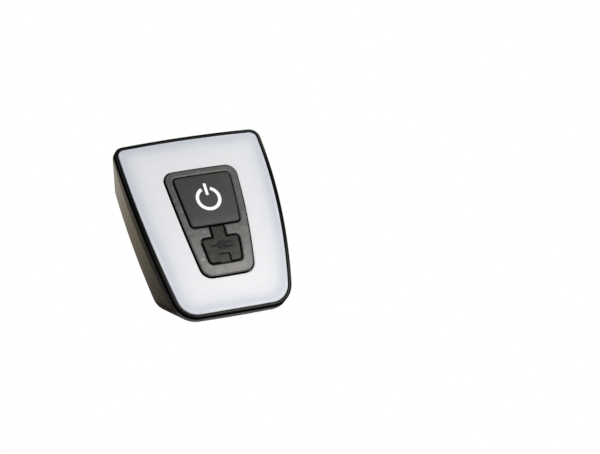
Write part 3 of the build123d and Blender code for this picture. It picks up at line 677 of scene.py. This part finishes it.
# Diffuser lens: a domed ring between the bezel and the panel, with both edges rounded
LENS_STEPS = 26
LENS_EDGE = 0.22
lens_outer = outline(FACE, -BEZEL_WALL - LENS_FIT)
lens_inner = outline(PANEL, PANEL_GAP - PANEL_SHRINK)
lens_width = lens_outer[0][1] - lens_inner[0][1]
edge_share = LENS_EDGE / lens_width
lens_profile = [(0, LENS_REAR)]
lens_profile += [(edge_share * (1 - cos(t)), LENS_RECESS + LENS_EDGE * (1 - sin(t))) for t in quarter]
lens_profile += [
    (edge_share + (1 - 2 * edge_share) * k / LENS_STEPS, LENS_RECESS) for k in range(1, LENS_STEPS)
]
lens_profile += [
    (1 - edge_share * (1 - sin(t)), LENS_RECESS + LENS_EDGE * (1 - cos(t))) for t in quarter
]
lens_profile += [(1, LENS_REAR)]
lens_rings = []
for share, setback in lens_profile:
    points = [
        (ax + (bx - ax) * share, az + (bz - az) * share)
        for (ax, az), (bx, bz) in zip(lens_outer, lens_inner)
    ]
    lens_rings.append(domed_ring(points, setback))

# The inner wall and the last step of its rounding are painted black: painted shade in the gap beside the
# panel
lens_marks = [0] * (len(lens_rings) - 3) + [1, 1, 0]
lens = loft("diffuser_ring", lens_rings, closed=True, marks=lens_marks)
from_rim = lens.data.attributes.new("from_rim", "FLOAT", "POINT")
from_rim.data.foreach_set(
    "value", [share * lens_width for share, setback in lens_profile for point in lens_outer]
)
dress(lens, "diffuser_plastic", "light", "diffuser_lens", looks=("diffuser_plastic", "gap_painted_shade"))

# Centre panel: a domed plate with the button's opening and the cover's pocket, and a flange behind the lens
PANEL_EDGE = 0.32
PORT_HALF_WIDTH = 3.92
PORT_HALF_HEIGHT = 1.47
PORT_CORNER = 0.92
NECK_RUN = 0.1
pocket = outline(COVER, COVER_GAP)[: 1 - EDGE_STEPS]
pocket_top = COVER.middle_z + COVER.height / 2 + COVER_GAP
opening_bottom = BUTTON.middle_z - BUTTON.height / 2 - BUTTON_GAP + BUTTON_SHRINK
neck_gap = NECK_HALF + COVER_GAP
neck_right = [(neck_gap, opening_bottom - NECK_RUN), (neck_gap, pocket_top)]
neck_left = [(-x, z) for x, z in reversed(neck_right)]
opening = with_path(
    outline(BUTTON, BUTTON_GAP - BUTTON_SHRINK), neck_gap, neck_right + pocket + neck_left, BUTTON.middle_z
)
inner_openings = [
    outline(BUTTON, BUTTON_GAP), rounded_box(0, PORT_Z, PORT_HALF_WIDTH, PORT_HALF_HEIGHT, PORT_CORNER)
]
# The walls of the panel's outline and openings are painted black: painted shade in the gaps around the
# panel, the button and the cover
panel_frame = plate(
    "panel_frame", [moved(outline(PANEL, -PANEL_SHRINK), PANEL_PLAY), opening],
    -PANEL_RISE, COVER_FLOOR, on_dome, edge=PANEL_EDGE, walls=1,
)
panel_floor = plate(
    "panel_floor", [outline(PANEL, -PANEL_SHRINK - OVERLAP)] + inner_openings,
    COVER_FLOOR, PANEL_FLANGE_SETBACK, on_dome, edge=SHARP_EDGE, walls=1,
)
panel_flange = plate(
    "panel_flange", [outline(PANEL, PANEL_FLANGE)] + inner_openings,
    PANEL_FLANGE_SETBACK, PANEL_REAR, on_dome, edge=HIDDEN_EDGE,
)
panel = joined("centre_panel_plate", [panel_frame, panel_floor, panel_flange])
dress(panel, "panel_plastic", "light", "centre_panel", looks=("panel_plastic", "gap_painted_shade"))

# Power button: a soft cap that is slightly pillowed, its flange behind the panel and its stem
BUTTON_EDGE = 0.34
PILLOW = 0.12


def on_button(x, z, setback):
    """A plan point on the dome, sunk a little towards the button's edges."""
    across = min(abs(x) / (BUTTON.top_width / 2), 1)
    along = min(abs(z - BUTTON.middle_z) / (BUTTON.height / 2), 1)
    share = max(across, along) ** 4
    return (x, crown_y(x, z, setback) + (PILLOW * share if setback < 0 else 0), z)


# The cap's wall is painted black: painted shade in the gap around the button
button_cap = plate(
    "button_cap", [moved(outline(BUTTON, -BUTTON_SHRINK), BUTTON_PLAY)],
    -BUTTON_RISE, BUTTON_FLANGE_FRONT, on_button, edge=BUTTON_EDGE, spacing=0.9, walls=1,
)
button_base = plate(
    "button_base", [outline(BUTTON, BUTTON_FLANGE)],
    BUTTON_FLANGE_FRONT, BUTTON_REAR, on_dome, edge=HIDDEN_EDGE,
)
button_stem = plate(
    "button_stem", [circle(0, BUTTON.middle_z, STEM_RADIUS)],
    CROWN_DEPTH - BUTTON_REAR, STEM_END_DEPTH, on_back, edge=HIDDEN_EDGE,
)
button = joined("power_button_cap", [button_cap, button_base, button_stem])
dress(button, "button_rubber", "button", "power_button", looks=("button_rubber", "gap_painted_shade"))

# Power sign: a broken ring and a bar, printed on the button
SIGN_Z = 1.95
SIGN_OUTER = 3.27
SIGN_STROKE = 0.87
SIGN_GAP = radians(23)
SIGN_STEPS = 40
BAR_Z = 4.52
BAR_HALF_WIDTH = 0.38
BAR_HALF_HEIGHT = 1.62
BAR_CORNER = 0.12
PRINT = 0.02


def arc_band(x, z, outer, inner, start, end):
    """A thick arc with square ends."""
    points = []
    for radius, first, last in ((outer, start, end), (inner, end, start)):
        turns = [first + (last - first) * k / SIGN_STEPS for k in range(SIGN_STEPS + 1)]
        points += [(x + radius * cos(t), z + radius * sin(t)) for t in turns]
    return points


sign_loops = {
    "sign_ring": arc_band(
        0, SIGN_Z, SIGN_OUTER, SIGN_OUTER - SIGN_STROKE, pi / 2 + SIGN_GAP, 5 * pi / 2 - SIGN_GAP
    ),
    "sign_bar": rounded_box(0, BAR_Z, BAR_HALF_WIDTH, BAR_HALF_HEIGHT, BAR_CORNER),
}
sign_parts = [
    plate(
        name, [loop], -BUTTON_RISE - PRINT, -BUTTON_RISE + OVERLAP, on_button,
        edge=SHARP_EDGE, spacing=0.7,
    )
    for name, loop in sign_loops.items()
]
dress(joined("power_sign", sign_parts), "button_rubber", "button", looks=("print_white",))

# Port cover: one soft piece from its fixed neck to its finger notch, with a plug behind
COVER_EDGE = 0.2
NOTCH_LIP = 0.01
NOTCH_STEPS = 5
HINGE_CUT = 0.1
HINGE_CUTS = 7
PLUG_HALF_WIDTH = 3.1
PLUG_HALF_HEIGHT = 0.5
PLUG_CORNER = 0.3
PLUG_LIFT = 0.12
PLUG_ROOT_DEPTH = 19.85
PLUG_TIP_DEPTH = 18.7
cover_points = outline(COVER, -COVER_SHRINK)[: 1 - EDGE_STEPS]
cover_top = COVER.middle_z + COVER.height / 2 - COVER_SHRINK
neck_half = NECK_HALF - COVER_SHRINK
cover_loop = [(neck_half, NECK_TOP_Z), (neck_half, cover_top)] + cover_points
cover_loop += [(-neck_half, cover_top), (-neck_half, NECK_TOP_Z)]
cover_low = min(z for x, z in cover_points)
corner_x = NOTCH_HALF - NOTCH_CORNER
notch = [(NOTCH_HALF, cover_low + NOTCH_LIP)]
notch += arc_points((corner_x, NOTCH_TOP_Z - NOTCH_CORNER), NOTCH_CORNER, 0, pi / 2, NOTCH_STEPS)
notch.append((corner_x, NOTCH_TOP_Z))
notch += [(-x, z) for x, z in reversed(notch)]
hinge_cuts = [HINGE_Z + HINGE_CUT * k for k in range(-HINGE_CUTS, HINGE_CUTS + 1)]
# The front layer's wall is painted black: painted shade in the gap around the cover
cover_front = plate(
    "cover_front", [with_path(cover_loop, NOTCH_HALF, notch, COVER.middle_z)],
    -COVER_RISE, NOTCH_FLOOR, on_dome, edge=COVER_EDGE, spacing=1.0, cuts=hinge_cuts, walls=1,
)
cover_rear = plate(
    "cover_rear", [cover_loop],
    NOTCH_FLOOR, COVER_REAR, on_dome, edge=SHARP_EDGE, spacing=1.0, cuts=hinge_cuts,
)
plug = plate(
    "plug", [rounded_box(0, PORT_Z + PLUG_LIFT, PLUG_HALF_WIDTH, PLUG_HALF_HEIGHT, PLUG_CORNER)],
    PLUG_ROOT_DEPTH, PLUG_TIP_DEPTH, on_back, edge=0,
)
cover = joined("port_cover", [cover_front, cover_rear, plug])
paint(cover, "flap_rubber", "gap_painted_shade")
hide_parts("port_flap", "flap_anchor")
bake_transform(cover)

# A plain plug sign, raised on the cover: its cord, body and two prongs. Its faces are painted dark and its
# walls black: painted shade of its relief
SIGN_RISE = 0.2
SIGN_EDGE = 0.06
PLUG_SIGN_Z = -10.53
CORD_HALF = 0.23
CORD_LEFT = -2.8
CORD_RIGHT = -1.2
BODY_HALF = 1.12
BODY_LEFT = -0.2
BODY_RIGHT = 0.8
PRONG_LEFT = 0.75
PRONG_RIGHT = 2.5
PRONG_OFFSET = 0.56


def bar(left, right, middle_z, half):
    """Corners of a lying bar."""
    low, high = middle_z - half, middle_z + half
    return [(left, low), (right, low), (right, high), (left, high)]


plug_body = arc_points((BODY_LEFT, PLUG_SIGN_Z), BODY_HALF, pi / 2, 3 * pi / 2, 10)
plug_body += [
    (BODY_LEFT, PLUG_SIGN_Z - BODY_HALF),
    (BODY_RIGHT, PLUG_SIGN_Z - BODY_HALF),
    (BODY_RIGHT, PLUG_SIGN_Z + BODY_HALF),
]
plug_sign = [
    bar(CORD_LEFT, CORD_RIGHT, PLUG_SIGN_Z, CORD_HALF),
    plug_body,
    bar(PRONG_LEFT, PRONG_RIGHT, PLUG_SIGN_Z + PRONG_OFFSET, CORD_HALF),
    bar(PRONG_LEFT, PRONG_RIGHT, PLUG_SIGN_Z - PRONG_OFFSET, CORD_HALF),
]
plug_parts = [
    plate(
        f"sign_{k}", [loop], -COVER_RISE - SIGN_RISE, -COVER_RISE + OVERLAP, on_dome,
        edge=SIGN_EDGE, spacing=0.7, walls=1,
    )
    for k, loop in enumerate(plug_sign)
]
charge_sign = joined("charge_sign", plug_parts)
dress(charge_sign, "flap_rubber", "flap", looks=("sign_painted_shade", "gap_painted_shade"))

# Clip: the spring is one bent strip with a slot, from inside the plate to its rounded tip
CLIP_WIDTH = 14.2
CLIP_THICKNESS = 2.1
ROOT = Vector((-0.555, 15.9))
BEND_CORNER = Vector((6.675, 13.3))
BEND_RADIUS = 2.2
LEAN = radians(10.1)
LEG_LENGTH = 26.6
TIP_RADIUS = 5.5
SLOT_HALF = 3.5
SLOT_START = 3.45
SLOT_LENGTH = 20.1
SLOT_RADIUS = 3.0
TIP_STEPS = 14
SLOT_STEPS = 10
BEND_STEPS = 14
first_run = BEND_CORNER - ROOT
root_heading = heading(first_run)
leg_heading = -pi / 2 - LEAN
bend_turn = root_heading - leg_heading
tangent = BEND_RADIUS * tan(bend_turn / 2)
bend_start = first_run.length - tangent
bend_length = BEND_RADIUS * bend_turn
bend_end = bend_start + bend_length
strip_length = bend_end + LEG_LENGTH - tangent
corner_reach = bend_end - tangent


def along_strip(s):
    """Place and heading on the strip's centre line."""
    if s < bend_start:
        return ROOT + first_run.normalized() * s, root_heading
    bend_centre = ROOT + first_run.normalized() * bend_start
    bend_centre += BEND_RADIUS * Vector((sin(root_heading), -cos(root_heading)))
    turn = min((s - bend_start) / BEND_RADIUS, bend_turn)
    now = root_heading - turn
    place = bend_centre + BEND_RADIUS * Vector((-sin(now), cos(now)))
    if s > bend_end:
        place += Vector((cos(now), sin(now))) * (s - bend_end)
    return place, now


def on_strip(x, minus_s, depth):
    """A point of the strip, at a depth below its outer face."""
    place, now = along_strip(-minus_s)
    place = place + Vector((-sin(now), cos(now))) * (CLIP_THICKNESS / 2 - depth)
    return (x, place.x, place.y)


tip_loop = rounded_box(0, 0, CLIP_WIDTH / 2, strip_length / 2, TIP_RADIUS, TIP_STEPS)
tip_loop = [(x, z - strip_length / 2) for x, z in tip_loop if z < 0]
tip_loop = [(CLIP_WIDTH / 2, 0), (-CLIP_WIDTH / 2, 0)] + tip_loop
slot_start = corner_reach + SLOT_START
slot_loop = rounded_box(
    0, -slot_start - SLOT_LENGTH / 2, SLOT_HALF, SLOT_LENGTH / 2, SLOT_RADIUS, SLOT_STEPS
)
bend_cuts = [-bend_start - bend_length * k / BEND_STEPS for k in range(-3, BEND_STEPS + 2)]
spring = plate(
    "clip_spring", [tip_loop, slot_loop], 0, CLIP_THICKNESS, on_strip,
    edge=0.38, rear_edge=0.2, spacing=3.0, cuts=bend_cuts, smooth_angle=50,
)
paint(spring, "clip_plastic")
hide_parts("clip_arm")
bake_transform(spring)

# Clip base: a plate with cut corners, a hole for the screw and an inclined barb
PLATE_HALF = 8.2
PLATE_TOP_Z = 17.0
PLATE_BOTTOM_Z = -9.6
PLATE_PROUD = 0.4
PLATE_REAR = 1.1
PLATE_CUT = 1.8
SCREW_Z = 6.6
SCREW_HOLE = 2.92
BARB_HALF_WIDTH = 0.5
BARB_THICKNESS = 1.4
BARB_FOOT = Vector((0, -8.2))
BARB_TIP = Vector((4.65, -0.1))
plate_loop = [
    (PLATE_HALF - PLATE_CUT, PLATE_TOP_Z), (PLATE_HALF, PLATE_TOP_Z - PLATE_CUT),
    (PLATE_HALF, PLATE_BOTTOM_Z + PLATE_CUT), (PLATE_HALF - PLATE_CUT, PLATE_BOTTOM_Z),
]
plate_loop += [(-x, z) for x, z in reversed(plate_loop)]
base_plate = plate(
    "base_plate", [plate_loop, circle(0, SCREW_Z, SCREW_HOLE, SCREW_STEPS)],
    -PLATE_PROUD, PLATE_REAR, on_back, edge=0.15, spacing=6,
)
barb_along = (BARB_TIP - BARB_FOOT).normalized()
barb_across = Vector((-barb_along.y, barb_along.x)) * BARB_THICKNESS / 2
barb_points = [
    BARB_FOOT - barb_across, BARB_TIP - barb_across, BARB_TIP + barb_across, BARB_FOOT + barb_across
]
barb = plate(
    "barb", [[tuple(point) for point in barb_points]],
    -BARB_HALF_WIDTH, BARB_HALF_WIDTH, upright, edge=0.12, rear_edge=0.12, spacing=4,
)
dress(joined("clip_base", [base_plate, barb]), "clip_plastic", "light", "clip_plate")

# Screw of the clip: a countersunk head with a cross recess, and its shank
SCREW_HEAD = 2.8
SCREW_SHANK = 1.25
SCREW_END = 4.6
CROSS_HALF = 0.4
CROSS_REACH = 1.6
RECESS_FLOOR = 0.45
HEAD_TAPER = 0.1
quarter_cross = [(CROSS_REACH, -CROSS_HALF), (CROSS_REACH, CROSS_HALF), (CROSS_HALF, CROSS_HALF)]
cross = []
for turn_x, turn_z in ((1, 0), (0, 1), (-1, 0), (0, -1)):
    cross += [(x * turn_x - z * turn_z, SCREW_Z + x * turn_z + z * turn_x) for x, z in quarter_cross]
screw_top = plate(
    "screw_top", [circle(0, SCREW_Z, SCREW_HEAD, SCREW_STEPS), cross],
    -PLATE_PROUD, RECESS_FLOOR, on_back, edge=0.12, spacing=6,
)
cone_section = [
    (SCREW_HEAD - HEAD_TAPER, RECESS_FLOOR - SHARP_EDGE),
    (SCREW_SHANK, RECESS_FLOOR + SCREW_HEAD - SCREW_SHANK),
    (SCREW_SHANK, SCREW_END),
]
cone_rings = [
    flat_ring(circle(0, SCREW_Z, radius, SCREW_STEPS), depth) for radius, depth in cone_section
]
screw = joined("clip_screw_head", [screw_top, loft("screw_cone", cone_rings, smooth_angle=30)])
dress(screw, "black_screw", "light", "clip_screw")

# World: a white backdrop for the camera, a soft sky that lights, and a studio that glossy rays see
scene = bpy.context.scene
scene.view_settings.view_transform = "Standard"
world = bpy.data.worlds.new("studio")
scene.world = world
world.use_nodes = True
sky = world.node_tree
sky.nodes.clear()
path = add_node(sky, "ShaderNodeLightPath")


def background(colour, strength):
    """Light of the world in one colour, or in a colour from another node."""
    made = add_node(sky, "ShaderNodeBackground", Strength=strength)
    put(sky, colour, made.inputs["Color"])
    return made.outputs[0]


def choice(share, first, second):
    """The first light, or the second where the share is 1."""
    made = add_node(sky, "ShaderNodeMixShader")
    for value, socket in zip((share, first, second), made.inputs):
        sky.links.new(value, socket)
    return made.outputs[0]


split = add_node(sky, "ShaderNodeSeparateXYZ")
sky.links.new(add_node(sky, "ShaderNodeTexCoord").outputs["Generated"], split.inputs[0])
height = spread(sky, split.outputs["Z"], 0, 1, -1, 1)
level = ramp(
    sky, height,
    (0.15, (0.50, 0.49, 0.47)), (0.45, (0.80, 0.80, 0.80)),
    (0.75, (0.62, 0.64, 0.68)), (1.0, (0.45, 0.47, 0.5)),
)
ahead = ramp(
    sky, height,
    (0.45, (0.95, 0.93, 0.90)), (0.56, (0.90, 0.88, 0.86)),
    (0.68, (0.22, 0.22, 0.22)), (0.85, (0.08, 0.08, 0.08)),
)
behind = ramp(
    sky, height,
    (0.625, (0.01, 0.007, 0.003)), (0.675, (0.43, 0.37, 0.27)), (0.695, (1.0, 0.95, 0.86)),
)
mirrored = mix(sky, spread(sky, split.outputs["Y"], 0, 1, -0.1, 0.5), ahead, behind)
lighting = choice(path.outputs["Is Glossy Ray"], background(level, 0.8), background(mirrored, 1.0))
seen = math_node(sky, "MAXIMUM", path.outputs["Is Camera Ray"], path.outputs["Is Transmission Ray"])
chosen = choice(seen, lighting, background((1, 1, 1, 1), 1.0))
sky.links.new(chosen, add_node(sky, "ShaderNodeOutputWorld").inputs["Surface"])


def area_lamp(name, place, target, size, power, colour=(1, 1, 1)):
    """A square soft lamp that points at a place."""
    data = bpy.data.lights.new(name, "AREA")
    data.size = size
    data.energy = power
    data.color = colour
    lamp = bpy.data.objects.new(name, data)
    scene.collection.objects.link(lamp)
    lamp.location = place
    lamp.rotation_euler = (Vector(target) - Vector(place)).to_track_quat("-Z", "Y").to_euler()
    return lamp


WARM = (1.0, 0.98, 0.95)
area_lamp("key", (-0.15, -0.5, 0.45), (0, 0, 0), 0.3, 0.4, (1.0, 0.99, 0.97))
area_lamp("low_front", (0.17, -0.44, 0.014), (0, -0.02, -0.015), 0.18, 0.45, WARM)

# From below come two lamps in one place, of which the strong one gives no reflections: on the housing seen
# from behind they would be too bright
UNDER = dict(place=(0.1, -0.36, -0.36), target=(0, -0.01, -0.01), size=0.16, colour=WARM)
area_lamp("under", power=0.14, **UNDER)
area_lamp("under_fill", power=1.01, **UNDER).visible_glossy = False
area_lamp("upper_right", (0.282, -0.33, 0.3), (0.018, -0.018, 0.018), 0.06, 0.1, (0.9, 1.0, 0.95))
area_lamp("rear_right", (0.35, 0.4, 0.25), (0, 0, 0), 0.25, 1.7)

# Floor: far below, because the photograph looks up at the light
FLOOR_Z = -0.5
FLOOR_SIZE = 6
bpy.ops.mesh.primitive_plane_add(size=FLOOR_SIZE, location=(0, 0, FLOOR_Z))
floor = bpy.context.object
floor.name = "floor"
floor_look, _, floor_shader = material("pale floor")
floor_shader.inputs["Base Color"].default_value = (0.85, 0.85, 0.85, 1)
floor_shader.inputs["Roughness"].default_value = 0.9
floor.data.materials.append(floor_look)

# Camera, from the photograph's perspective
CAMERA_PLACE = Vector((-224.95, -586.62, -229.2)) * MM
CAMERA_FORWARD = Vector((0.3759, 0.8636, 0.336)).normalized()
CAMERA_DOWN = Vector((-0.1464, 0.4134, -0.8987))
SENSOR_WIDTH = 36.0
FOCAL_LENGTH = 158.95
camera_data = bpy.data.cameras.new("camera")
camera_data.sensor_width = SENSOR_WIDTH
camera_data.lens = FOCAL_LENGTH
camera_data.clip_start = 0.01
camera_data.clip_end = 20.0
camera = bpy.data.objects.new("camera", camera_data)
scene.collection.objects.link(camera)
right = CAMERA_DOWN.cross(CAMERA_FORWARD).normalized()
up = right.cross(CAMERA_FORWARD).normalized()
turn = Matrix((right, up, -CAMERA_FORWARD)).transposed()
camera.matrix_world = Matrix.Translation(CAMERA_PLACE) @ turn.to_4x4()
scene.camera = camera

bpy.context.view_layer.update()
